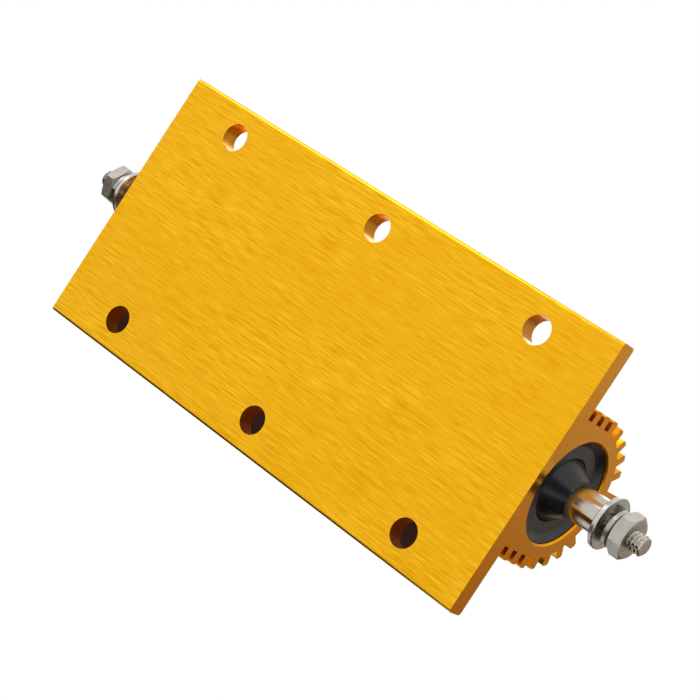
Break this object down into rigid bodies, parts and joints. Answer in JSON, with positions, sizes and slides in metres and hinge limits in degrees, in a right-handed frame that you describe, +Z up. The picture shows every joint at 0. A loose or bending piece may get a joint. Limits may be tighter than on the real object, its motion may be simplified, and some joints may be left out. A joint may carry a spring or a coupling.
{
  "type": "aluminium housed power resistor",
  "caption": "Wirewound power resistor in a finned aluminium extrusion with a drilled mounting flange on each side and a threaded stud terminal with nut and washers at each end.",
  "frame": {"origin": "bottom centre: the middle of the mounting face", "axes": "+X along the housing and its terminals, +Y across the flanges, +Z up from the mounting face to the body"},
  "size_m": [0.1836, 0.068, 0.0375],
  "materials": {
    "gold_anodised": "gold anodised, drawn grain along the length, matt sawn ends",
    "insulation": "moulded silicone insulation, matt",
    "ceramic": "fired ceramic, unglazed",
    "resistance_wire": "drawn nickel-chromium wire, slightly oxidised",
    "cap_steel": "pressed sheet, satin",
    "bush_black": "moulded black thermoset, satin",
    "plated_terminal": "turned and nickel plated, satin",
    "plated_washer": "stamped and nickel plated, satin",
    "spring_steel": "plated spring steel, satin",
    "plated_nut": "nickel plated, satin"
  },
  "bodies": {
    "root": {"housing": "gold_anodised", "insulating_sleeve": "insulation", "ceramic_core": "ceramic", "resistance_winding": "resistance_wire", "core_cap_right": "cap_steel", "core_cap_left": "cap_steel", "end_bush_right": "bush_black", "end_bush_left": "bush_black", "terminal_right": "plated_terminal", "terminal_left": "plated_terminal", "flat_washer_right": "plated_washer", "flat_washer_left": "plated_washer", "spring_washer_right": "spring_steel", "spring_washer_left": "spring_steel", "hex_nut_right": "plated_nut", "hex_nut_left": "plated_nut"}
  },
  "joints": []
}
